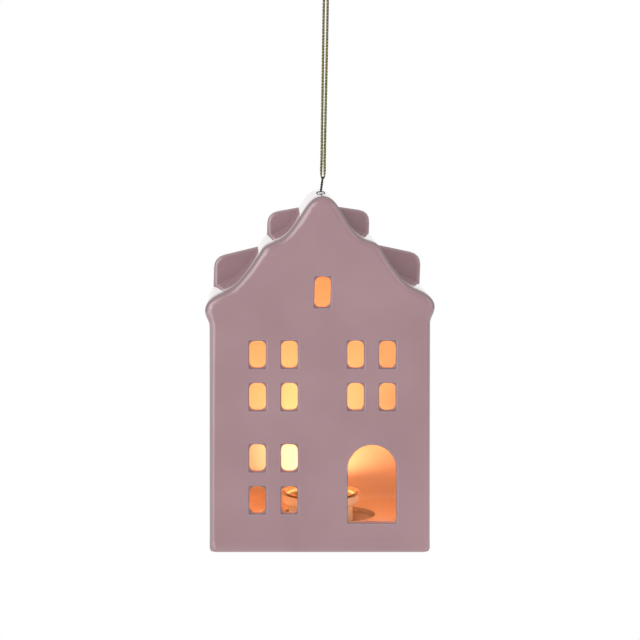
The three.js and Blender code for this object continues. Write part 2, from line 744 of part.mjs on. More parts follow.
// Sectors of a disc, one for each bayonet lug
function lugSectors(radius, fromZ, toZ, degrees, turn) {
  return [0, 180].map((start) => {
    const middle = THREE.MathUtils.degToRad(start + turn);
    const half = THREE.MathUtils.degToRad(degrees) / 2;
    const shape = new THREE.Shape();
    shape.moveTo(0, 0);
    shape.absarc(0, 0, radius, middle - half, middle + half, false);
    shape.lineTo(0, 0);
    return upwards(shape, fromZ, toZ).translate([BATTERY_X, 0, 0]);
  });
}

const bayonetNotches = (radius, fromZ, toZ) =>
  lugSectors(radius, fromZ, toZ, LUG_ANGLE + 6, 90 + LID_TURN);

function batteryLid() {
  const disc = turned(
    [
      [0, BASE_Z],
      [LID_R - 0.4, BASE_Z],
      [LID_R, BASE_Z + 0.4],
      [LID_R, BASE_Z + LID_THICKNESS],
      [0, BASE_Z + LID_THICKNESS],
    ],
    36,
    BATTERY_X,
  );
  const top = BASE_Z + LID_THICKNESS;
  const lugs = lugSectors(LID_R + LUG_OUT, top - LUG_THICKNESS, top, LUG_ANGLE, 90);
  const slot = upwards(
    roundedRectangle(
      BATTERY_X,
      0,
      2 * COIN_SLOT_SHARE * LID_R,
      COIN_SLOT_WIDTH,
      0.45 * COIN_SLOT_WIDTH,
    ),
    BASE_Z - PAST,
    BASE_Z + COIN_SLOT_DEPTH,
  );
  return joined([disc, ...lugs]).subtract(slot);
}

// A flat cell: the can, and the smaller cap on its upper side
function battery() {
  const bottom = batteryBottomZ();
  const top = bottom + BATTERY_THICKNESS;
  return turned(
    [
      [0, bottom],
      [BATTERY_R - 0.5, bottom],
      [BATTERY_R, bottom + 0.5],
      [BATTERY_R, top - 0.6],
      [BATTERY_R - 0.4, top - 0.4],
      [BATTERY_R - 1.1, top - 0.4],
      [BATTERY_R - 1.4, top],
      [0, top],
    ],
    36,
    BATTERY_X,
  );
}

// A strip from the board down through the bay's roof, with its foot along the cell's cap
function negativeContact() {
  const foot = batteryBottomZ() + BATTERY_THICKNESS + CLEARANCE / 2;
  const boardZ = BOARD_UNDER_Z - 0.1;
  const middle = block(BATTERY_X, 0, foot, boardZ, STRIP, NEGATIVE_STRIP_WIDTH);
  const sole = block(BATTERY_X - 3, 0, foot, foot + STRIP, 6, NEGATIVE_STRIP_WIDTH);
  return middle.add(sole);
}

function positiveContact() {
  const y = BAY_R + STRIP / 2 - BAY_CLEARANCE / 4;
  return block(
    BATTERY_X,
    y,
    batteryBottomZ() + CLEARANCE,
    BOARD_UNDER_Z - 0.1,
    POSITIVE_STRIP_WIDTH,
    STRIP,
  );
}

function circuitBoard() {
  const top = BOARD_UNDER_Z + BOARD_THICKNESS;
  const disc = cylinder(0, 0, BORE_R - 2 * CLEARANCE, BOARD_UNDER_Z, top, 36);
  const leadHoles = [-LEAD_SPACING / 2, LEAD_SPACING / 2].map((x) =>
    cylinder(x, 0, LEAD_WIDTH, BOARD_UNDER_Z - PAST, top + PAST, 8),
  );
  const screwHoles = [-SCREW_Y, SCREW_Y].map((y) =>
    cylinder(SCREW_X, y, SCREW_D / 2 + CLEARANCE, BOARD_UNDER_Z - PAST, top + PAST, 10),
  );
  return cutFrom(disc, [...leadHoles, ...screwHoles]);
}

function boardScrew(y) {
  const top = BOARD_UNDER_Z + BOARD_THICKNESS + CLEARANCE / 2;
  const head = turned(
    [
      [0, top],
      [SCREW_HEAD_D / 2, top],
      [SCREW_HEAD_D / 2, top + 0.5 * SCREW_HEAD],
      [0.3 * SCREW_HEAD_D, top + SCREW_HEAD],
      [0, top + SCREW_HEAD],
    ],
    16,
    SCREW_X,
    y,
  );
  const shank = cylinder(SCREW_X, y, SCREW_D / 2, BOARD_UNDER_Z - SCREW_LENGTH, top + 0.1, 10);
  const recesses = [
    [1.8, 0.45],
    [0.45, 1.8],
  ].map(([width, length]) =>
    block(SCREW_X, y, top + 0.45 * SCREW_HEAD, top + SCREW_HEAD + PAST, width, length),
  );
  return cutFrom(head.add(shank), recesses);
}

// The lamp, its two leads through the board
function lamp() {
  const domeR = LAMP_D / 2;
  const bottom = LIP_TOP_Z - 0.2 - LAMP_HEIGHT;
  const domeZ = bottom + LAMP_HEIGHT - domeR;
  const dome = [30, 60].map((degrees) => {
    const angle = THREE.MathUtils.degToRad(degrees);
    return [domeR * Math.cos(angle), domeZ + domeR * Math.sin(angle)];
  });
  const body = turned(
    [
      [0, bottom],
      [LAMP_FLANGE_D / 2, bottom],
      [LAMP_FLANGE_D / 2, bottom + LAMP_FLANGE],
      [domeR, bottom + LAMP_FLANGE],
      [domeR, domeZ],
      ...dome,
      [0, domeZ + domeR],
    ],
    20,
  );
  const leads = [-LEAD_SPACING / 2, LEAD_SPACING / 2].map((x) =>
    block(x, 0, BOARD_UNDER_Z - LEAD_STUB, bottom + 0.2, LEAD_WIDTH, LEAD_WIDTH),
  );
  return joined([body, ...leads]);
}

// The dish round the lamp, with a lip over the drum's top edge
function dish() {
  const lipR = HEAD_R + 0.2;
  const mouthR = HEAD_R - DISH_LIP_WIDTH;
  const holeR = DISH_HOLE_D / 2;
  const floorZ = LIP_TOP_Z - DISH_DEPTH;
  const lipUnder = LIP_TOP_Z - DISH_SHEET;
  return turned([
    [holeR, floorZ - DISH_SHEET],
    [mouthR - 0.5, lipUnder - 2.2],
    [mouthR - 0.1, lipUnder],
    [lipR - 0.4, lipUnder],
    [lipR, lipUnder + 0.2],
    [lipR, LIP_TOP_Z - 0.15],
    [lipR - 0.35, LIP_TOP_Z],
    [mouthR + 0.4, LIP_TOP_Z],
    [mouthR - 0.5, LIP_TOP_Z - 0.9],
    [mouthR - 1.1, lipUnder - 2],
    [holeR + 0.5, floorZ],
    [holeR, floorZ],
    [holeR, floorZ - DISH_SHEET],
  ], 48);
}

// The soft ring between the light's waist and the hole's wall, thicker on the right
function gripRing() {
  const bottom = FLANGE_TOP_Z + CLEARANCE;
  const top = FLOOR_Z - RING_BELOW_FLOOR;
  const ribs = 2;
  const pitch = (top - bottom) / ribs;
  const ribbed = [];
  for (let i = 0; i < ribs; i++) {
    const z = bottom + pitch * i;
    ribbed.push([RING_R - RING_RIB, z], [RING_R, z + 0.3 * pitch], [RING_R, z + 0.7 * pitch]);
  }
  const disc = turned(
    [[0, bottom], ...ribbed, [RING_R - RING_RIB, top], [0, top]],
    48,
    SOCKET_OFFSET,
  );
  return disc.subtract(cylinder(0, 0, WAIST_R + CLEARANCE, bottom - PAST, top + PAST, 40));
}

function switchBody() {
  const top = BOARD_UNDER_Z - CLEARANCE;
  const body = block(SWITCH_X, 0, top - SWITCH_HEIGHT, top, SWITCH_WIDTH, SWITCH_LENGTH);
  const slot = block(
    SWITCH_X,
    0,
    top - SWITCH_HEIGHT - PAST,
    top - SWITCH_HEIGHT + 1.6,
    KNOB_WIDTH + 2 * CLEARANCE,
    KNOB_LENGTH + KNOB_TRAVEL + 2 * CLEARANCE,
  );
  return body.subtract(slot);
}

// The knob starts at the rear end of its travel, switched on
function switchKnob() {
  const top = BOARD_UNDER_Z - CLEARANCE - SWITCH_HEIGHT + 1.3;
  const y = KNOB_TRAVEL / 2;
  return block(SWITCH_X, y, BASE_Z - KNOB_BELOW_BASE, top, KNOB_WIDTH, KNOB_LENGTH);
}

const group = new THREE.Group();

function addMesh(name, geometry, finish, parent = group) {
  const mesh = new THREE.Mesh(geometry, finish);
  mesh.name = name;
  parent.add(mesh);
}

const hanger = new THREE.Group();
hanger.position.x = GABLE_LEAN;
const light = new THREE.Group();
light.position.x = LIGHT_X;
group.add(hanger, light);

addMesh("ceramic_house", geometryOf(house()), GLAZE);
addMesh("wire_hanger", tube(wirePoints(), WIRE_D / 2, 2, 6), DARK_WIRE, hanger);
addMesh("hanging_cord", tube(cordPoints(), CORD_D / 2, 3, 8), GOLD_THREAD, hanger);
addMesh("cord_knot", geometryOf(knot()), GOLD_THREAD, hanger);
addMesh("light_housing", geometryOf(lightHousing()), PALE_PLASTIC, light);
addMesh("reflector_dish", geometryOf(dish()), METALLISED, light);
addMesh("grip_ring", geometryOf(gripRing()), SOFT_RUBBER, light);
addMesh("warm_led", geometryOf(lamp()), LAMP_EPOXY, light);
addMesh("circuit_board", geometryOf(circuitBoard()), BOARD_GREEN, light);
addMesh("board_screw_front", geometryOf(boardScrew(-SCREW_Y)), STEEL, light);
addMesh("board_screw_rear", geometryOf(boardScrew(SCREW_Y)), STEEL, light);
addMesh("switch_body", geometryOf(switchBody()), BLACK_PLASTIC, light);
addMesh("switch_knob", geometryOf(switchKnob()), BLACK_PLASTIC, light);
addMesh("coin_battery", geometryOf(battery()), STEEL, light);
addMesh("positive_contact", geometryOf(positiveContact()), STEEL, light);
addMesh("negative_contact", geometryOf(negativeContact()), STEEL, light);
addMesh("battery_door", geometryOf(batteryLid()), PALE_PLASTIC, light);

export default group;
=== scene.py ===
import math

import bpy
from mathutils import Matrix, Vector


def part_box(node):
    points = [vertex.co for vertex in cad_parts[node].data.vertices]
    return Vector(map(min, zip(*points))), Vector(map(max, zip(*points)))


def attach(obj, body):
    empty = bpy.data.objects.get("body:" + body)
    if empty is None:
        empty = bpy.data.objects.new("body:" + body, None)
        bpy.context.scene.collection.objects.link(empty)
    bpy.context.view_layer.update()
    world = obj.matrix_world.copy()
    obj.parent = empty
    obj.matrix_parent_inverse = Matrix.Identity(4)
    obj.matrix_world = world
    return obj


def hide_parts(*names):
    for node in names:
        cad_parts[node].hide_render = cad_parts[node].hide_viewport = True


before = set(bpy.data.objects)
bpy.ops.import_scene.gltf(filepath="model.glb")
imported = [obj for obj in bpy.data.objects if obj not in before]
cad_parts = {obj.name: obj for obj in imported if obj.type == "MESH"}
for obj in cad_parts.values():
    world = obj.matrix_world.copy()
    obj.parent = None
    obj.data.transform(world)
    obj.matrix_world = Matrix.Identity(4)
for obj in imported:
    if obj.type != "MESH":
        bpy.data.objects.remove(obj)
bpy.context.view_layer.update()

# The photograph's frame, and the camera that took it
FRAME_PIXELS = 640
FOCAL_PIXELS = 2200
SENSOR_MM = 36
CAMERA_AT = Vector((-0.025, -1.100, 0.2238))
CAMERA_PITCH = math.radians(1.3)
AHEAD_U = 268.2  # the pixel that the camera's own axis meets
AHEAD_V = 140.2
NEAREST_SEEN = 0.05

# The cord's loop from knot to eye to knot: [sideways from its middle, height above the fold]
CORD_ROUTE = [
    (-0.00085, 0.0940),
    (-0.00096, 0.0900),
    (-0.00097, 0.0800),
    (-0.00094, 0.0680),
    (-0.00090, 0.0560),
    (-0.00087, 0.0440),
    (-0.00084, 0.0320),
    (-0.00081, 0.0220),
    (-0.00078, 0.0130),
    (-0.00079, 0.0080),
    (-0.00090, 0.0042),
    (-0.00109, 0.0017),
    (-0.00084, 0.00044),
    (0, 0),
    (0.00084, 0.00044),
    (0.00109, 0.0017),
    (0.00090, 0.0042),
    (0.00079, 0.0080),
    (0.00078, 0.0130),
    (0.00081, 0.0220),
    (0.00084, 0.0320),
    (0.00087, 0.0440),
    (0.00090, 0.0560),
    (0.00094, 0.0680),
    (0.00097, 0.0800),
    (0.00096, 0.0900),
    (0.00085, 0.0940),
]
CORD_D = 0.0014
CORD_LEAN = 0.0165  # x gained for each metre of height
CORD_SIDE = Vector((0, 1, 0))  # where the winding of the threads starts
GABLE_LEAN = 0.0013  # the gable's top stands this far right of the middle
WIRE_LEAN = 0.001
FOLD_Z = 0.17935
SPAN_STEPS = 12  # points of the smooth curve for each span of a route
PATH_STEP = 0.00025
PLIES = 3  # threads twisted into the cord
PLY_SHARE = 0.54  # of the cord's radius that one thread has
PLY_SIDES = 8
TWIST_PITCH = 0.0040
PINCH = 0.42  # how far the strands are drawn in where the wire bends them
PINCH_OF_WIDTH = 1.15  # times as much for the cord's own width
PINCH_REACH = 0.0026

# The knot, and the two tails above it
KNOT_R = 0.0019
KNOT_REACH = 1.5  # of that radius, from the knot's middle to its outermost line
KNOT_LOBES = 3
KNOT_TURNS = 2
KNOT_STEPS = 150
TAIL_SHARE = 0.9  # of the cord's diameter
TAIL_FOOT_X = 0.0009
TAIL_TIP_X = 0.0022
TAIL_TIP_Y = 0.0008
TAIL_TIP_Z = 0.0058
TAIL_BOW = 0.00035  # how far a tail's middle lies nearer to the other tail

# Colours, linear
MAUVE = (0.409, 0.256, 0.279, 1)
MAUVE_DEEP = (0.373, 0.227, 0.249, 1)
# paler and greyer where the glaze runs thin, with a painted sheen
MAUVE_THIN_AND_SHEEN = (0.41, 0.36, 0.42, 1)
# painted shade on the front's rounded rim
MAUVE_RIM_SHADE = (0.30, 0.225, 0.238, 1)
# painted sheen on the rims of the rear gable's tiers
TIER_RIM_SHEEN = (0.43, 0.35, 0.36, 1)
# painted shade in the small corners round the windows
CORNER_SHADE_BROWN = (0.30, 0.15, 0.12, 1)
PALE_CLAY = (0.78, 0.66, 0.55, 1)
# painted sheen at the thread's edges
GOLD_SHEEN_PALE = (0.95, 0.88, 0.55, 1)
GOLD_OLIVE = (0.14, 0.115, 0.04, 1)
WIRE_DARK = (0.045, 0.038, 0.036, 1)
WIRE_WORN = (0.09, 0.08, 0.08, 1)
PLASTIC_IVORY = (0.93, 0.90, 0.84, 1)
RING_GREY = (0.36, 0.33, 0.33, 1)
# the dish: painted lit gold and glow on its rear, painted shade in bronze elsewhere and on the lip's
# front
DISH_LIT_GOLD = (0.92, 0.72, 0.36, 1)
DISH_SHADED_BRONZE = (0.20, 0.10, 0.035, 1)
DISH_GLOW = (1.0, 0.72, 0.32, 1)
LIP_SHADED_BRONZE = (0.42, 0.20, 0.08, 1)
# painted glow of the drum, and of the dish's lip behind
DRUM_GLOW = (1.0, 0.45, 0.16, 1)
LAMP_AMBER = (1.0, 0.62, 0.26, 1)
LAMP_PALER = (1.0, 0.80, 0.50, 1)
BOARD_GREEN = (0.02, 0.13, 0.05, 1)
BOARD_LIGHTER = (0.05, 0.22, 0.09, 1)
STEEL_PALE = (0.62, 0.61, 0.58, 1)
BLACK = (0.02, 0.02, 0.02, 1)
FLOOR_WHITE = (0.9, 0.9, 0.9, 1)
WHITE = (1, 1, 1)

# Noise textures: nearly all of their values lie in the wide range, and most in the narrow one
NOISE_WIDE = (0.3, 0.7)
NOISE_NARROW = (0.35, 0.65)
FINE_DETAIL = 3

# Smooth shading of the house
SHARP_FROM = math.radians(40)
WELD_REACH = 0.00001

# The glaze
GLAZE_CLOUD_SCALE = 26
GLAZE_CLOUD_DETAIL = 4
PIT_SCALE = 420
PIT_FADE = (0.06, 0.12)  # distance from a pit's middle over which it fades out
PIT_SHARE = 0.12
GLAZE_ROUGHNESS = 0.035
CLAY_ROUGHNESS = 0.45
GLAZE_IOR = 1.6
GLAZE_COAT = 0.4  # the clear upper layer
COAT_ROUGHNESS = 0.02
RIPPLE_SCALE = 160
RIPPLE_DETAIL = 1
RIPPLE_DEPTH = 0.00002
RIPPLE_STRENGTH = 0.35
CROWN_FROM = (-0.037, -0.018)  # the roof is shaded as if it fell towards its front edge
CROWN_TILT = 0.14

# Edges and corners of the front
FRONT_WALL_Y = -0.0355
FRONT_FACE_Y = -0.04045
EDGE_SAMPLES = 8
HOLE_EDGE_R = 0.0009  # rounding of the glaze round the windows and the door
THIN_AND_SHEEN_FROM = (0.999, 0.93)  # likeness of the rounded and the true normal there
THIN_AND_SHEEN_SHARE = 0.85  # how far the glaze pales there, as thin glaze and as a painted sheen
NOOK_REACH = 0.0025  # painted brown shade reaches this far into the small corners round the windows
NOOK_FROM = (0.75, 0.40)  # openness of a corner
NOOK_SHARE = 0.8

# Rims of the front, with painted shade, and of the rear gable's tiers, with a painted sheen
RIM_FROM = (-0.0398, -0.0386)  # where the front's rounded rim turns to the side
RIM_TO = -0.0366
PANES_HALF = 0.046  # the windows and the door lie within this, and between these heights
PANES_Z = (0.012, 0.100)
ATTIC_HALF = 0.012
ATTIC_TOP_Z = 0.145
# the tiers' rims, which are painted with a sheen
TIER_RIM_FROM = (0.0366, 0.0374)
TIER_RIM_TO = 0.0386
TIER_RIM_Z = 0.120
TIER_RIM_SHARE = 0.7

# Bare clay: the room, the hole that the light stands in, and the foot's underside
ROOM_HALF_WIDTH = 0.0491
ROOM_HALF_DEPTH = 0.03625
ROOM_FROM_Z = 0.0112
ROOM_MIDDLE = (0, 0, 0.09)
SOCKET_X = 0.0051
SOCKET_REACH = 0.0240
SOCKET_FROM_Z = 0.0058
SOCKET_TO_Z = 0.0125
FOOT_TO_Z = 0.0004

# Gold thread
THREAD_SCALE = 1500
THREAD_EDGE_BLEND = 0.5
THREAD_EDGE_FROM = (0.30, 0.75)
THREAD_GLINTS = 0.25  # paler and darker by this
THREAD_METALLIC = 0.65
THREAD_ROUGHNESS = 0.32
THREAD_DEPTH = 0.00008
THREAD_STRENGTH = 0.8
BEAD_PITCH = 0.0016  # height of one dark bead between the pale threads
BEAD_SHARE = 0.3

# Wire
WEAR_SCALE = 900
WEAR_FROM = (0.5, 0.75)
WIRE_METALLIC = 0.6
WIRE_ROUGHNESS = (0.35, 0.6)
WIRE_DEPTH = 0.00003

# Moulded plastic and the soft ring
MOULDED_CLOUD_SCALE = 60
MOULDED_DARKER = 0.86
MOULDED_SPREAD = 0.06  # of the roughness, each way
SHEER_RADIUS = (0.002, 0.0013, 0.0008)
IVORY_ROUGHNESS = 0.32
IVORY_SHEER = 0.25
BLACK_ROUGHNESS = 0.4
PLASTIC_GRAIN_SCALE = 700
PLASTIC_GRAIN = 0.00002
RING_ROUGHNESS = 0.5
RING_GRAIN_SCALE = 500
RING_GRAIN = 0.00006
DRUM_GLOW_LEVEL = 0.18  # painted glow, as though the lamp showed through the drum's wall
DRUM_GLOW_FROM_Z = (0.0080, 0.0120)

# Sheet metal
LINE_SCALE = 400
LINE_DEPTH = 0.00001
LEVEL_LINES = (1, 1, 14)  # how fast the lines change along x, y and z
CELL_LINES = (1, 14, 1)
METAL_DARKER = 0.8
METAL_SMOOTHER = 0.05
METAL_ROUGHER = 0.08
STEEL_ROUGHNESS = 0.28
CELL_ROUGHNESS = 0.22

# The dish, whose colours go by depth and height: painted light and glow on its rear, painted shade
# elsewhere
DISH_X = 0.0014
DISH_LIP_R = 0.0172  # the dish's outer side and its lip lie outside this
DISH_FLARE = 0.00485  # and, near the lip, further out than their height less this
# where the painted lit gold begins, by depth and by height
DISH_LIT_FROM = (0.001, 0.004)
DISH_LIT_FROM_Z = (0.0209, 0.0214)
DISH_GLOW_LEVEL = 0.6
DISH_GLOW_TO_Z = (0.0220, 0.0226)
DISH_ROUGHNESS = (0.08, 0.16)
# where the lip's painted shade gives way to ivory
LIP_SHADE_TO = (-0.001, 0.004)
STREAK_SCALE = 220
STREAK_REACH = 0.006  # how far a streak moves the gold's edge
STREAK_RISE = 0.2  # of that, how far it moves the edge's height
STREAK_DEPTH = 0.00003

# The lamp and the board
LAMP_CLOUD_SCALE = 500
LAMP_LEVEL = 6
LAMP_ROUGHNESS = 0.12
WEAVE_SCALE = 1200
WEAVE_FROM = (0.4, 0.6)
WEAVE_DEPTH = 0.00002
BOARD_ROUGHNESS = 0.35

# Light from the lamp and its dish
LAMP_AT = Vector((0.0150, 0, 0.0213))
LAMP_RADIUS = 0.0018
LAMP_WATTS = 0.095
LAMP_COLOUR = (1.0, 0.41, 0.17)
BEAM_AT = Vector((-0.008, 0.003, 0.0195))  # the part of the lamp's light that goes upwards
BEAM_TOWARDS = Vector((0, 0.01, 1))
BEAM_WATTS = 0.62
BEAM_ANGLE = math.radians(124)
GLINT_AT = Vector((0.010, -0.006, 0.0200))  # where the dish mirrors the lamp onto the rear wall
GLINT_ONTO = Vector((-0.015, 0.036, 0.036))
GLINT_WATTS = 0.29
GLINT_COLOUR = (1.0, 0.58, 0.36)
GLINT_ANGLE = math.radians(46)

# Light from the studio
PANEL_ONTO = Vector((0, 0, 0.09))
PANEL_SIZE = 1.6
LEFT_PANEL_AT = Vector((-1.6, -1.2, 1.1))
LEFT_PANEL_WATTS = 14
RIGHT_PANEL_AT = Vector((1.8, -0.9, 0.9))
RIGHT_PANEL_WATTS = 5
WORLD_LEVEL = 0.80

# The studio as shiny surfaces mirror it. Places are measured from the front (-1) to the back (1)
FRONT_LEVEL = 0.5  # behind the camera
LIT_FROM = (-0.98, -0.86)  # where the side walls and the ceiling begin
LIT_LEVEL = 0.8  # of the walls
CEILING_EXTRA = -2.4  # added to it straight up, but the gap's level stays the least
LEFT_EXTRA = 2.6  # added to it straight to the left
GAP_FROM = (-0.75, -0.10)  # the dark gap between the walls and the backdrop
GAP_LEVEL = 0.25
BACKDROP_FROM = (0.95, 0.985)

# The floor, far below the ornament
FLOOR_Z = -0.45
FLOOR_HALF = 6
FLOOR_FRONT_Y = -0.9
FLOOR_ROUGHNESS = 0.9
SHADE_REACH = (0.15, 0.70)  # distance from the middle over which the floor's own shade fades out
SHADE_SHARE = 0.6


def make_camera():
    data = bpy.data.cameras.new("photo_camera")
    data.sensor_width = SENSOR_MM
    data.lens = SENSOR_MM * FOCAL_PIXELS / FRAME_PIXELS
    data.clip_start = NEAREST_SEEN
    data.shift_x = 0.5 - AHEAD_U / FRAME_PIXELS
    data.shift_y = AHEAD_V / FRAME_PIXELS - 0.5
    camera = bpy.data.objects.new("photo_camera", data)
    bpy.context.collection.objects.link(camera)
    camera.location = CAMERA_AT
    camera.rotation_euler = (math.radians(90) - CAMERA_PITCH, 0, 0)
    bpy.context.scene.camera = camera


def mesh_object(name, points, faces, material):
    mesh = bpy.data.meshes.new(name)
    mesh.from_pydata(points, [], faces)
    mesh.polygons.foreach_set("use_smooth", [True] * len(mesh.polygons))
    mesh.materials.append(material)
    piece = bpy.data.objects.new(name, mesh)
    bpy.context.collection.objects.link(piece)
    return piece


def smooth_path(points):
    """Points on a Catmull-Rom curve through the given ones."""
    path = []
    ends = [2 * points[0] - points[1], *points, 2 * points[-1] - points[-2]]
    for i in range(1, len(ends) - 2):
        a, b, c, d = ends[i - 1 : i + 3]
        for step in range(SPAN_STEPS):
            t = step / SPAN_STEPS
            path.append(
                0.5
                * (
                    2 * b
                    + (c - a) * t
                    + (2 * a - 5 * b + 4 * c - d) * t * t
                    + (3 * b - a - 3 * c + d) * t * t * t
                )
            )
    path.append(points[-1].copy())
    return path


def even_path(points):
    """The same line with points an even step apart."""
    out = [points[0].copy()]
    left = PATH_STEP
    for a, b in zip(points, points[1:]):
        span = (b - a).length
        at = 0
        while span - at > left:
            at += left
            out.append(a.lerp(b, at / span))
            left = PATH_STEP
        left -= span - at
    out.append(points[-1].copy())
    return out


def frames_along(path):
    """The direction and a side at each point of a path, turned as little as possible on the way."""
    side = CORD_SIDE.normalized()
    frames = []
    for i in range(len(path)):
        ahead = path[min(i + 1, len(path) - 1)] - path[max(i - 1, 0)]
        along = ahead.normalized()
        side = (side - along * side.dot(along)).normalized()
        frames.append((along, side.copy()))
    return frames


def ply_points(path, frames, diameter, first_turn, squeeze):
    """The points round one thread, which winds round the path."""
    ply_r = PLY_SHARE * diameter / 2
    lay_r = diameter / 2 - ply_r
    points = []
    travelled = 0.0
    for i, centre in enumerate(path):
        if i > 0:
            travelled += (centre - path[i - 1]).length
        along, side = frames[i]
        across = along.cross(side)
        share = squeeze(centre) if squeeze else 1.0
        turn = 2 * math.pi * (first_turn + travelled / TWIST_PITCH)
        for k in range(PLY_SIDES):
            angle = 2 * math.pi * k / PLY_SIDES + turn
            u = lay_r * math.cos(turn) + ply_r * math.cos(angle)
            v = lay_r * math.sin(turn) + ply_r * math.sin(angle)
            points.append(centre + side * u + across * v * share)
    return points


def ply_faces(base, count, closed_ends):
    """The faces of one thread with that many rings of points, the first of them at base."""
    faces = []
    for i in range(count - 1):
        for k in range(PLY_SIDES):
            a = base + i * PLY_SIDES + k
            b = base + i * PLY_SIDES + (k + 1) % PLY_SIDES
            faces.append((a, b, b + PLY_SIDES, a + PLY_SIDES))
    if closed_ends:
        last = base + (count - 1) * PLY_SIDES
        faces.append(tuple(base + k for k in reversed(range(PLY_SIDES))))
        faces.append(tuple(last + k for k in range(PLY_SIDES)))
    return faces


def twisted_cord(name, path, diameter, material, squeeze=None, closed_ends=True):
    """A cord of twisted threads along a path. squeeze gives its share of width at a point."""
    frames = frames_along(path)
    points = []
    faces = []
    for ply in range(PLIES):
        faces += ply_faces(len(points), len(path), closed_ends)
        points += ply_points(path, frames, diameter, ply / PLIES, squeeze)
    return mesh_object(name, points, faces, material)


def near_fold(height):
    """1 at the cord's fold, falling to 0 a little above it."""
    return math.exp(-((height / PINCH_REACH) ** 2))


def cord_points():
    """The route's points in the row frame, drawn in where the fold goes round the wire."""
    points = []
    for side, height in CORD_ROUTE:
        drawn_in = 1 - PINCH * near_fold(height)
        x = GABLE_LEAN + WIRE_LEAN + side * drawn_in + height * CORD_LEAN
        points.append(Vector((x, 0, FOLD_Z + height)))
    return points


def pinch_at(point):
    """The share of its width that the cord keeps at a point."""
    return 1 - PINCH_OF_WIDTH * PINCH * near_fold(point.z - FOLD_Z)


def make_cord(material):
    path = even_path(smooth_path(cord_points()))
    piece = twisted_cord("gold_cord_loop", path, CORD_D, material, squeeze=pinch_at)
    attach(piece, "house")
    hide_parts("hanging_cord")
    knot = make_knot(material)


def trefoil(centre, radius):
    """A closed overhand knot, as points."""
    points = []
    for i in range(KNOT_STEPS + 1):
        turn = 2 * math.pi * KNOT_TURNS * i / KNOT_STEPS
        lobe = KNOT_LOBES / KNOT_TURNS * turn
        ring = radius * (2 + math.cos(lobe)) * 0.5
        weave = radius * math.sin(lobe) * 0.5
        points.append(centre + Vector((ring * math.sin(turn), weave, ring * math.cos(turn))))
    return points


def make_tail(name, centre, side, material):
    """One short end of the cord above the knot, on its left (-1) or its right (1)."""
    foot = centre + Vector((side * TAIL_FOOT_X, 0, KNOT_R / 2))
    tip = centre + Vector((side * TAIL_TIP_X, side * TAIL_TIP_Y, TAIL_TIP_Z))
    bend = foot.lerp(tip, 0.5) + Vector((-side * TAIL_BOW, 0, 0))
    path = even_path(smooth_path([foot, bend, tip]))
    return twisted_cord(name, path, TAIL_SHARE * CORD_D, material)


def make_knot(material):
    solid_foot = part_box("cord_knot")[0].z
    ends = cord_points()
    middle_x = (ends[0].x + ends[-1].x) / 2
    centre = Vector((middle_x, 0, solid_foot + KNOT_REACH * KNOT_R + CORD_D / 2))
    path = trefoil(centre, KNOT_R)
    ring = twisted_cord("gold_cord_knot", path, CORD_D, material, closed_ends=False)
    for name, side in (("gold_cord_tail_left", -1), ("gold_cord_tail_right", 1)):
        make_tail(name, centre, side, material).parent = ring
    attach(ring, "house")
    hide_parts("cord_knot")
    return ring


def new_material(name):
    material = bpy.data.materials.new(name)
    material.use_nodes = True
    nodes, links = material.node_tree.nodes, material.node_tree.links
    return material, nodes, links, nodes["Principled BSDF"]


def feed(links, socket, value):
    """Sets a socket to a fixed value, or links another socket to it."""
    if isinstance(value, bpy.types.NodeSocket):
        links.new(value, socket)
    elif value is not None:
        socket.default_value = value


def object_place(nodes):
    return nodes.new("ShaderNodeTexCoord").outputs["Object"]


def axes_of(nodes, links, place):
    """The coordinates of a place, by their letters."""
    split = nodes.new("ShaderNodeSeparateXYZ")
    links.new(place, split.inputs[0])
    return split.outputs


def noise_value(nodes, links, place, scale, detail=2):
    texture = nodes.new("ShaderNodeTexNoise")
    texture.inputs["Scale"].default_value = scale
    texture.inputs["Detail"].default_value = detail
    links.new(place, texture.inputs["Vector"])
    return texture.outputs["Fac"]


def speck_value(nodes, links, place, scale):
    """Distance to the nearest of many scattered points."""
    texture = nodes.new("ShaderNodeTexVoronoi")
    texture.inputs["Scale"].default_value = scale
    links.new(place, texture.inputs["Vector"])
    return texture.outputs["Distance"]


def remapped(nodes, links, value, low, high, out_low=0.0, out_high=1.0):
    node = nodes.new("ShaderNodeMapRange")
    node.inputs["From Min"].default_value = low
    node.inputs["From Max"].default_value = high
    node.inputs["To Min"].default_value = out_low
    node.inputs["To Max"].default_value = out_high
    links.new(value, node.inputs["Value"])
    return node.outputs["Result"]


def mixed(nodes, links, share, first, second):
    """A colour between two, each a socket or four numbers. The node's inputs 6 and 7 take them."""
    node = nodes.new("ShaderNodeMix")
    node.data_type = "RGBA"
    links.new(share, node.inputs["Factor"])
    feed(links, node.inputs[6], first)
    feed(links, node.inputs[7], second)
    return node.outputs[2]


def mixed_value(nodes, links, share, first, second):
    """A number between two, each a socket or a number. The node's inputs 2 and 3 take them."""
    node = nodes.new("ShaderNodeMix")
    links.new(share, node.inputs["Factor"])
    feed(links, node.inputs[2], first)
    feed(links, node.inputs[3], second)
    return node.outputs[0]


def maths(nodes, links, operation, first, second=None):
    """A sum of one or two terms, each a socket or a number."""
    node = nodes.new("ShaderNodeMath")
    node.operation = operation
    feed(links, node.inputs[0], first)
    feed(links, node.inputs[1], second)
    return node.outputs[0]


def vector_maths(nodes, links, operation, first, second=None):
    """The same for vectors. A distance and a dot product come back as a number."""
    node = nodes.new("ShaderNodeVectorMath")
    node.operation = operation
    feed(links, node.inputs[0], first)
    feed(links, node.inputs[1], second)
    if operation in ("DISTANCE", "DOT_PRODUCT"):
        return node.outputs["Value"]
    return node.outputs["Vector"]


def product(nodes, links, first, *others):
    for other in others:
        first = maths(nodes, links, "MULTIPLY", first, other)
    return first


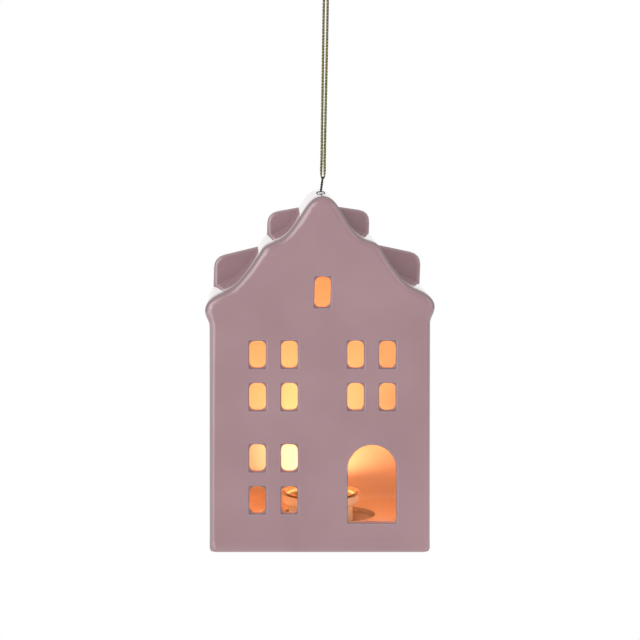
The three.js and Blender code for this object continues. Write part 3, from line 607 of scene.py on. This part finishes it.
def under(nodes, links, value, limit):
    return maths(nodes, links, "LESS_THAN", value, limit)


def over(nodes, links, value, limit):
    return maths(nodes, links, "GREATER_THAN", value, limit)


def bumped(nodes, links, surface, height, distance, strength=1.0, normal=None):
    node = nodes.new("ShaderNodeBump")
    node.inputs["Distance"].default_value = distance
    node.inputs["Strength"].default_value = strength
    links.new(height, node.inputs["Height"])
    if normal is not None:
        links.new(normal, node.inputs["Normal"])
    links.new(node.outputs["Normal"], surface.inputs["Normal"])


def show_blend(nodes, links, share, first, second):
    """Shows one shader where the share is 0 and another where it is 1."""
    blend = nodes.new("ShaderNodeMixShader")
    links.new(share, blend.inputs["Fac"])
    links.new(first, blend.inputs[1])
    links.new(second, blend.inputs[2])
    links.new(blend.outputs["Shader"], nodes["Material Output"].inputs["Surface"])


def cloudy_mauve(nodes, links, place):
    """The glaze's own colour, with clouds and small darker pits."""
    clouds = noise_value(nodes, links, place, GLAZE_CLOUD_SCALE, GLAZE_CLOUD_DETAIL)
    share = remapped(nodes, links, clouds, *NOISE_NARROW)
    tone = mixed(nodes, links, share, MAUVE_DEEP, MAUVE)
    pits = speck_value(nodes, links, place, PIT_SCALE)
    pit_share = remapped(nodes, links, pits, *PIT_FADE, PIT_SHARE, 0.0)
    return mixed(nodes, links, pit_share, tone, MAUVE_DEEP)


def thin_and_sheen_share(nodes, links, rounded):
    """How thin the glaze is, and how much painted sheen it gets, where the rounded normal leaves the
    true one.
    """
    true_normal = nodes.new("ShaderNodeNewGeometry").outputs["Normal"]
    likeness = vector_maths(nodes, links, "DOT_PRODUCT", rounded, true_normal)
    return remapped(nodes, links, likeness, *THIN_AND_SHEEN_FROM, 0.0, THIN_AND_SHEEN_SHARE)


def rim_shade_share(nodes, links, place):
    """1 where the front's rounded rim turns away from the front, apart from its openings; there shade
    is painted.
    """
    axes = axes_of(nodes, links, place)
    half_width = maths(nodes, links, "ABSOLUTE", axes["X"])

    def outside(half, low, high):
        narrow = under(nodes, links, half_width, half)
        above = over(nodes, links, axes["Z"], low)
        below = under(nodes, links, axes["Z"], high)
        return maths(nodes, links, "SUBTRACT", 1, product(nodes, links, narrow, above, below))

    turned = remapped(nodes, links, axes["Y"], *RIM_FROM)
    before = under(nodes, links, axes["Y"], RIM_TO)
    off_panes = outside(PANES_HALF, *PANES_Z)
    off_attic = outside(ATTIC_HALF, PANES_Z[1], ATTIC_TOP_Z)
    return product(nodes, links, turned, before, off_panes, off_attic)


def tier_rim_sheen_share(nodes, links, place):
    """How far a point lies on the front rims of the rear gable's tiers, which are painted paler and
    greyer as a sheen.
    """
    axes = axes_of(nodes, links, place)
    turned = remapped(nodes, links, axes["Y"], *TIER_RIM_FROM, 0.0, TIER_RIM_SHARE)
    before = under(nodes, links, axes["Y"], TIER_RIM_TO)
    high = over(nodes, links, axes["Z"], TIER_RIM_Z)
    return product(nodes, links, turned, before, high)


def nook_shade_share(nodes, links):
    """How deep a point lies in a small corner, where brown shade is painted."""
    nook = nodes.new("ShaderNodeAmbientOcclusion")
    nook.samples = EDGE_SAMPLES
    nook.inputs["Distance"].default_value = NOOK_REACH
    return remapped(nodes, links, nook.outputs["AO"], *NOOK_FROM, 0.0, NOOK_SHARE)


def inside_share(nodes, links, place):
    """1 on the room's own faces and 0 on the glazed outside."""
    axes = axes_of(nodes, links, place)
    half_width = maths(nodes, links, "ABSOLUTE", axes["X"])
    half_depth = maths(nodes, links, "ABSOLUTE", axes["Y"])
    narrow = under(nodes, links, half_width, ROOM_HALF_WIDTH)
    shallow = under(nodes, links, half_depth, ROOM_HALF_DEPTH)
    high = over(nodes, links, axes["Z"], ROOM_FROM_Z)
    from_middle = vector_maths(nodes, links, "SUBTRACT", place, ROOM_MIDDLE)
    normal = nodes.new("ShaderNodeNewGeometry").outputs["True Normal"]
    facing = vector_maths(nodes, links, "DOT_PRODUCT", from_middle, normal)
    inward = under(nodes, links, facing, 0)
    return product(nodes, links, narrow, shallow, high, inward)


def socket_share(nodes, links, place):
    """1 on the wall of the hole in the floor that the light stands in."""
    axes = axes_of(nodes, links, place)
    flat = vector_maths(nodes, links, "MULTIPLY", place, (1, 1, 0))
    away = vector_maths(nodes, links, "DISTANCE", flat, (SOCKET_X, 0, 0))
    near = under(nodes, links, away, SOCKET_REACH)
    above = over(nodes, links, axes["Z"], SOCKET_FROM_Z)
    below = under(nodes, links, axes["Z"], SOCKET_TO_Z)
    return product(nodes, links, near, above, below)


def crowned_normal(nodes, links, axes, normal):
    """A normal that leans forward near the roof's front edge."""
    lean = remapped(nodes, links, axes["Y"], *CROWN_FROM, CROWN_TILT, 0.0)
    forward = nodes.new("ShaderNodeCombineXYZ")
    links.new(product(nodes, links, lean, -1), forward.inputs["Y"])
    leaning = vector_maths(nodes, links, "ADD", normal, forward.outputs["Vector"])
    return vector_maths(nodes, links, "NORMALIZE", leaning)


def glaze_material():
    """Mauve glaze with painted light: paler where it runs thin and with a painted sheen round the
    openings, painted shade on the front's rim and in the small corners, a painted sheen on the tiers'
    rims, and bare clay inside and below.
    """
    material, nodes, links, surface = new_material("dusty_mauve_glaze")
    place = object_place(nodes)
    axes = axes_of(nodes, links, place)
    at_front = under(nodes, links, axes["Y"], FRONT_WALL_Y)
    on_face = under(nodes, links, axes["Y"], FRONT_FACE_Y)
    bevel = nodes.new("ShaderNodeBevel")
    bevel.samples = EDGE_SAMPLES
    links.new(product(nodes, links, at_front, HOLE_EDGE_R), bevel.inputs["Radius"])
    rounded = bevel.outputs["Normal"]
    inside = inside_share(nodes, links, place)
    foot = under(nodes, links, axes["Z"], FOOT_TO_Z)
    layers = (
        # thin glaze and a painted sheen round the openings
        (product(nodes, links, thin_and_sheen_share(nodes, links, rounded), on_face), MAUVE_THIN_AND_SHEEN),
        # painted shade on the front's rounded rim
        (rim_shade_share(nodes, links, place), MAUVE_RIM_SHADE),
        # painted sheen on the tiers' rims
        (tier_rim_sheen_share(nodes, links, place), TIER_RIM_SHEEN),
        # painted brown shade in the small corners of the front
        (product(nodes, links, nook_shade_share(nodes, links), at_front), CORNER_SHADE_BROWN),
        (inside, PALE_CLAY),
        (socket_share(nodes, links, place), PALE_CLAY),
        (foot, PALE_CLAY),
    )
    tone = cloudy_mauve(nodes, links, place)
    for share, colour in layers:
        tone = mixed(nodes, links, share, tone, colour)
    links.new(tone, surface.inputs["Base Color"])
    bare = maths(nodes, links, "MAXIMUM", inside, foot)
    roughness = remapped(nodes, links, bare, 0, 1, GLAZE_ROUGHNESS, CLAY_ROUGHNESS)
    links.new(roughness, surface.inputs["Roughness"])
    surface.inputs["IOR"].default_value = GLAZE_IOR
    links.new(remapped(nodes, links, bare, 0, 1, GLAZE_COAT, 0), surface.inputs["Coat Weight"])
    surface.inputs["Coat Roughness"].default_value = COAT_ROUGHNESS
    ripple = noise_value(nodes, links, place, RIPPLE_SCALE, RIPPLE_DETAIL)
    normal = crowned_normal(nodes, links, axes, rounded)
    bumped(nodes, links, surface, ripple, RIPPLE_DEPTH, RIPPLE_STRENGTH, normal=normal)
    return material


def gold_thread_material():
    """A painted sheen: pale gold at the threads' edges, olive where they face the eye, with beads and
    glints.
    """
    material, nodes, links, surface = new_material("gold_metallic_thread")
    place = object_place(nodes)
    glints = noise_value(nodes, links, place, THREAD_SCALE)
    height = axes_of(nodes, links, place)["Z"]
    beads = maths(nodes, links, "SINE", product(nodes, links, height, 2 * math.pi / BEAD_PITCH))
    beads = remapped(nodes, links, beads, -1, 1, -BEAD_SHARE, BEAD_SHARE)
    # painted sheen: paler where the threads turn away from the eye
    weight = nodes.new("ShaderNodeLayerWeight")
    weight.inputs["Blend"].default_value = THREAD_EDGE_BLEND
    share = remapped(nodes, links, weight.outputs["Facing"], *THREAD_EDGE_FROM)
    share = maths(nodes, links, "ADD", share, beads)
    sparkle = remapped(nodes, links, glints, *NOISE_WIDE, -THREAD_GLINTS, THREAD_GLINTS)
    share = remapped(nodes, links, maths(nodes, links, "ADD", share, sparkle), 0, 1)
    links.new(mixed(nodes, links, share, GOLD_OLIVE, GOLD_SHEEN_PALE), surface.inputs["Base Color"])
    surface.inputs["Metallic"].default_value = THREAD_METALLIC
    surface.inputs["Roughness"].default_value = THREAD_ROUGHNESS
    bumped(nodes, links, surface, glints, THREAD_DEPTH, THREAD_STRENGTH)
    return material


def wire_material():
    """Dark annealed wire, paler where it is worn."""
    material, nodes, links, surface = new_material("dark_annealed_wire")
    wear = noise_value(nodes, links, object_place(nodes), WEAR_SCALE, FINE_DETAIL)
    share = remapped(nodes, links, wear, *WEAR_FROM)
    links.new(mixed(nodes, links, share, WIRE_DARK, WIRE_WORN), surface.inputs["Base Color"])
    surface.inputs["Metallic"].default_value = WIRE_METALLIC
    roughness = remapped(nodes, links, wear, *NOISE_WIDE, *WIRE_ROUGHNESS)
    links.new(roughness, surface.inputs["Roughness"])
    bumped(nodes, links, surface, wear, WIRE_DEPTH)
    return material


def darkened(colour, share):
    return tuple(share * c for c in colour[:3]) + (1,)


def moulded_material(
    name, colour, roughness, grain_scale=PLASTIC_GRAIN_SCALE, grain=PLASTIC_GRAIN, sheer=0.0
):
    """Moulded plastic or rubber: one colour, slightly clouded, with a fine grain."""
    material, nodes, links, surface = new_material(name)
    place = object_place(nodes)
    clouds = noise_value(nodes, links, place, MOULDED_CLOUD_SCALE, FINE_DETAIL)
    share = remapped(nodes, links, clouds, *NOISE_WIDE)
    tone = mixed(nodes, links, share, darkened(colour, MOULDED_DARKER), colour)
    links.new(tone, surface.inputs["Base Color"])
    fine = noise_value(nodes, links, place, grain_scale)
    spread = (roughness - MOULDED_SPREAD, roughness + MOULDED_SPREAD)
    links.new(remapped(nodes, links, fine, *NOISE_WIDE, *spread), surface.inputs["Roughness"])
    surface.inputs["Subsurface Weight"].default_value = sheer
    surface.inputs["Subsurface Radius"].default_value = SHEER_RADIUS
    bumped(nodes, links, surface, fine, grain)
    return material


def ivory_material(name):
    return moulded_material(name, PLASTIC_IVORY, IVORY_ROUGHNESS, sheer=IVORY_SHEER)


def drum_material():
    """The ivory plastic of the drum, with a painted glow as though the lamp lit it through a little.
    """
    material = ivory_material("ivory_drum")
    nodes, links = material.node_tree.nodes, material.node_tree.links
    surface = nodes["Principled BSDF"]
    surface.inputs["Emission Color"].default_value = DRUM_GLOW
    height = axes_of(nodes, links, object_place(nodes))["Z"]
    level = remapped(nodes, links, height, *DRUM_GLOW_FROM_Z, 0.0, DRUM_GLOW_LEVEL)
    links.new(level, surface.inputs["Emission Strength"])
    return material


def metal_material(name, colour, roughness, stretch):
    """Sheet metal with fine drawn lines."""
    material, nodes, links, surface = new_material(name)
    mapping = nodes.new("ShaderNodeMapping")
    mapping.inputs["Scale"].default_value = stretch
    links.new(object_place(nodes), mapping.inputs["Vector"])
    lines = noise_value(nodes, links, mapping.outputs["Vector"], LINE_SCALE, FINE_DETAIL)
    share = remapped(nodes, links, lines, *NOISE_NARROW)
    tone = mixed(nodes, links, share, darkened(colour, METAL_DARKER), colour)
    links.new(tone, surface.inputs["Base Color"])
    surface.inputs["Metallic"].default_value = 1
    spread = (roughness - METAL_SMOOTHER, roughness + METAL_ROUGHER)
    links.new(remapped(nodes, links, lines, *NOISE_WIDE, *spread), surface.inputs["Roughness"])
    bumped(nodes, links, surface, lines, LINE_DEPTH)
    return material


def lip_share(nodes, links, axes):
    """1 on the dish's lip and outer side, and 0 on its inner wall."""
    flat = nodes.new("ShaderNodeCombineXYZ")
    links.new(axes["X"], flat.inputs["X"])
    links.new(axes["Y"], flat.inputs["Y"])
    away = vector_maths(nodes, links, "DISTANCE", flat.outputs["Vector"], (DISH_X, 0, 0))
    flare = maths(nodes, links, "SUBTRACT", axes["Z"], DISH_FLARE)
    return over(nodes, links, away, maths(nodes, links, "MAXIMUM", flare, DISH_LIP_R))


def dish_material():
    """Painted light: lit gold with a painted glow high on the rear, painted shade in bronze
    elsewhere, and a lip that is ivory with a painted glow behind and painted shade in bronze in
    front.
    """
    material, nodes, links, surface = new_material("gold_dish")
    place = object_place(nodes)
    axes = axes_of(nodes, links, place)
    streaks = noise_value(nodes, links, place, STREAK_SCALE, FINE_DETAIL)
    wavy = product(nodes, links, streaks, STREAK_REACH)
    depth = maths(nodes, links, "ADD", axes["Y"], wavy)
    height = maths(nodes, links, "ADD", axes["Z"], product(nodes, links, wavy, STREAK_RISE))
    # painted light on the rear, high up, and painted shade elsewhere
    rear = remapped(nodes, links, depth, *DISH_LIT_FROM)
    rear = product(nodes, links, rear, remapped(nodes, links, height, *DISH_LIT_FROM_Z))
    tone = mixed(nodes, links, rear, DISH_SHADED_BRONZE, DISH_LIT_GOLD)
    back = remapped(nodes, links, axes["Y"], *LIP_SHADE_TO)
    lip_tone = mixed(nodes, links, back, LIP_SHADED_BRONZE, PLASTIC_IVORY)
    lip = lip_share(nodes, links, axes)
    links.new(mixed(nodes, links, lip, tone, lip_tone), surface.inputs["Base Color"])
    links.new(remapped(nodes, links, lip, 0, 1, 1, 0), surface.inputs["Metallic"])
    links.new(mixed(nodes, links, lip, DISH_GLOW, DRUM_GLOW), surface.inputs["Emission Color"])
    # painted glow under the rear lip and on the lip's rear
    under_lip = remapped(nodes, links, height, *DISH_GLOW_TO_Z, DISH_GLOW_LEVEL, 0.0)
    glow = product(nodes, links, rear, under_lip)
    lip_glow = product(nodes, links, back, DRUM_GLOW_LEVEL)
    links.new(mixed_value(nodes, links, lip, glow, lip_glow), surface.inputs["Emission Strength"])
    polish = remapped(nodes, links, streaks, *NOISE_WIDE, *DISH_ROUGHNESS)
    roughness = mixed_value(nodes, links, lip, polish, IVORY_ROUGHNESS)
    links.new(roughness, surface.inputs["Roughness"])
    bumped(nodes, links, surface, streaks, STREAK_DEPTH)
    return material


def lamp_material():
    """Glowing epoxy, which throws no shadow of its own."""
    material, nodes, links, surface = new_material("warm_lamp_epoxy")
    cloud = noise_value(nodes, links, object_place(nodes), LAMP_CLOUD_SCALE)
    tone = mixed(nodes, links, cloud, LAMP_AMBER, LAMP_PALER)
    links.new(tone, surface.inputs["Base Color"])
    links.new(tone, surface.inputs["Emission Color"])
    surface.inputs["Emission Strength"].default_value = LAMP_LEVEL
    surface.inputs["Roughness"].default_value = LAMP_ROUGHNESS
    clear = nodes.new("ShaderNodeBsdfTransparent")
    shadow = nodes.new("ShaderNodeLightPath").outputs["Is Shadow Ray"]
    show_blend(nodes, links, shadow, surface.outputs["BSDF"], clear.outputs["BSDF"])
    return material


def board_material():
    material, nodes, links, surface = new_material("green_board")
    weave = noise_value(nodes, links, object_place(nodes), WEAVE_SCALE)
    share = remapped(nodes, links, weave, *WEAVE_FROM)
    links.new(mixed(nodes, links, share, BOARD_GREEN, BOARD_LIGHTER), surface.inputs["Base Color"])
    surface.inputs["Roughness"].default_value = BOARD_ROUGHNESS
    bumped(nodes, links, surface, weave, WEAVE_DEPTH)
    return material


def shade_smooth(node):
    """Shades a carried-over node smoothly, apart from its sharp edges."""
    group = bpy.data.node_groups.new("smooth_shading", "GeometryNodeTree")
    group.interface.new_socket("Geometry", in_out="INPUT", socket_type="NodeSocketGeometry")
    group.interface.new_socket("Geometry", in_out="OUTPUT", socket_type="NodeSocketGeometry")
    nodes, links = group.nodes, group.links
    merge = nodes.new("GeometryNodeMergeByDistance")
    merge.inputs["Distance"].default_value = WELD_REACH
    bare = nodes.new("GeometryNodeRemoveAttribute")
    bare.inputs["Name"].default_value = "custom_normal"
    faces = nodes.new("GeometryNodeSetShadeSmooth")
    edges = nodes.new("GeometryNodeSetShadeSmooth")
    edges.domain = "EDGE"
    edges.inputs["Shade Smooth"].default_value = False
    angle = nodes.new("GeometryNodeInputMeshEdgeAngle")
    sharp = over(nodes, links, angle.outputs["Unsigned Angle"], SHARP_FROM)
    links.new(sharp, edges.inputs["Selection"])
    chain = [nodes.new("NodeGroupInput"), merge, bare, faces, edges, nodes.new("NodeGroupOutput")]
    for before, after in zip(chain, chain[1:]):
        links.new(before.outputs["Geometry"], after.inputs["Geometry"])
    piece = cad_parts[node]
    smooth = piece.modifiers.new("smooth_shading", "NODES")
    smooth.node_group = group
    flat = piece.modifiers.new("flat_faces_first", "WEIGHTED_NORMAL")
    flat.keep_sharp = True


def dress(node, material):
    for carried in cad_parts[node].material_slots:
        carried.material = material


def dress_frame():
    dress("ceramic_house", glaze_material())
    shade_smooth("ceramic_house")
    dress("wire_hanger", wire_material())
    dress("light_housing", drum_material())
    dress("battery_door", ivory_material("ivory_plastic"))
    dress("reflector_dish", dish_material())
    ring = moulded_material("grey_soft_ring", RING_GREY, RING_ROUGHNESS, RING_GRAIN_SCALE, RING_GRAIN)
    dress("grip_ring", ring)
    dress("warm_led", lamp_material())
    dress("circuit_board", board_material())
    black = moulded_material("black_plastic", BLACK, BLACK_ROUGHNESS)
    dress("switch_body", black)
    dress("switch_knob", black)
    steel = metal_material("plated_steel", STEEL_PALE, STEEL_ROUGHNESS, LEVEL_LINES)
    for node in ("board_screw_front", "board_screw_rear", "positive_contact", "negative_contact"):
        dress(node, steel)
    dress("coin_battery", metal_material("cell_can", STEEL_PALE, CELL_ROUGHNESS, CELL_LINES))


def add_lamp(name, kind, place, energy, colour, size, aim=None):
    data = bpy.data.lights.new(name, kind)
    data.energy = energy
    data.color = colour
    if kind == "AREA":
        data.size = size
    else:
        data.shadow_soft_size = size
    lamp = bpy.data.objects.new(name, data)
    bpy.context.collection.objects.link(lamp)
    lamp.location = place
    if aim is not None:
        lamp.rotation_euler = (aim - place).to_track_quat("-Z", "Y").to_euler()
    return lamp


def add_panel(name, place, energy):
    add_lamp(name, "AREA", place, energy, WHITE, PANEL_SIZE, PANEL_ONTO)


def add_spot(name, place, aim, energy, angle, colour):
    """A soft-edged cone of the lamp's light, which moves with the light."""
    lamp = add_lamp(name, "SPOT", place, energy, colour, LAMP_RADIUS, aim)
    lamp.data.spot_size = angle
    lamp.data.spot_blend = 1
    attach(lamp, "light_unit")


def make_lights():
    add_panel("left_panel", LEFT_PANEL_AT, LEFT_PANEL_WATTS)
    add_panel("right_panel", RIGHT_PANEL_AT, RIGHT_PANEL_WATTS)
    glow = add_lamp("lamp_glow", "POINT", LAMP_AT, LAMP_WATTS, LAMP_COLOUR, LAMP_RADIUS)
    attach(glow, "light_unit")
    upwards = BEAM_AT + BEAM_TOWARDS
    add_spot("lamp_beam", BEAM_AT, upwards, BEAM_WATTS, BEAM_ANGLE, LAMP_COLOUR)
    add_spot("dish_glint", GLINT_AT, GLINT_ONTO, GLINT_WATTS, GLINT_ANGLE, GLINT_COLOUR)


def white_to_the_eye(nodes, links):
    """1 for what the camera, mirrors and glass see, and 0 for what lights the object."""
    path = nodes.new("ShaderNodeLightPath").outputs
    seen = maths(nodes, links, "MAXIMUM", path["Is Camera Ray"], path["Is Glossy Ray"])
    return maths(nodes, links, "MAXIMUM", seen, path["Is Transmission Ray"])


def studio_level(nodes, links):
    """How bright the mirrored studio is in each direction: brightest on the left, dim overhead."""
    towards = axes_of(nodes, links, nodes.new("ShaderNodeTexCoord").outputs["Generated"])
    up = maths(nodes, links, "MAXIMUM", towards["Z"], 0)
    left = maths(nodes, links, "MAXIMUM", product(nodes, links, towards["X"], -1), 0)
    overhead = product(nodes, links, up, CEILING_EXTRA)
    extra = maths(nodes, links, "ADD", overhead, product(nodes, links, left, LEFT_EXTRA))
    lit_level = maths(nodes, links, "ADD", extra, LIT_LEVEL)
    lit_level = maths(nodes, links, "MAXIMUM", lit_level, GAP_LEVEL)
    level = FRONT_LEVEL
    for limits, next_level in ((LIT_FROM, lit_level), (GAP_FROM, GAP_LEVEL), (BACKDROP_FROM, 1.0)):
        share = remapped(nodes, links, towards["Y"], *limits)
        share.node.interpolation_type = "SMOOTHSTEP"
        level = mixed_value(nodes, links, share, level, next_level)
    return level


def make_world():
    world = bpy.data.worlds.new("studio")
    bpy.context.scene.world = world
    world.use_nodes = True
    nodes, links = world.node_tree.nodes, world.node_tree.links
    background = nodes["Background"]
    background.inputs["Color"].default_value = (*WHITE, 1)
    mirror = nodes.new("ShaderNodeLightPath").outputs["Is Glossy Ray"]
    level = remapped(nodes, links, white_to_the_eye(nodes, links), 0, 1, WORLD_LEVEL, 1.0)
    level = mixed_value(nodes, links, mirror, level, studio_level(nodes, links))
    links.new(level, background.inputs["Strength"])


def floor_material():
    """White to the eye, apart from a soft shade under the ornament."""
    material, nodes, links, surface = new_material("white_floor")
    surface.inputs["Base Color"].default_value = FLOOR_WHITE
    surface.inputs["Roughness"].default_value = FLOOR_ROUGHNESS
    glow = nodes.new("ShaderNodeEmission")
    away = vector_maths(nodes, links, "DISTANCE", object_place(nodes), (0, 0, FLOOR_Z))
    shade = remapped(nodes, links, away, *SHADE_REACH, SHADE_SHARE, 1.0)
    share = product(nodes, links, white_to_the_eye(nodes, links), shade)
    show_blend(nodes, links, share, surface.outputs["BSDF"], glow.outputs["Emission"])
    return material


def make_floor():
    corners = [
        Vector((-FLOOR_HALF, FLOOR_FRONT_Y, FLOOR_Z)),
        Vector((FLOOR_HALF, FLOOR_FRONT_Y, FLOOR_Z)),
        Vector((FLOOR_HALF, FLOOR_HALF, FLOOR_Z)),
        Vector((-FLOOR_HALF, FLOOR_HALF, FLOOR_Z)),
    ]
    floor = mesh_object("studio_floor", corners, [(0, 1, 2, 3)], floor_material())


make_camera()
make_cord(gold_thread_material())
dress_frame()
make_world()
make_floor()
make_lights()

bpy.context.scene.view_settings.view_transform = "Standard"
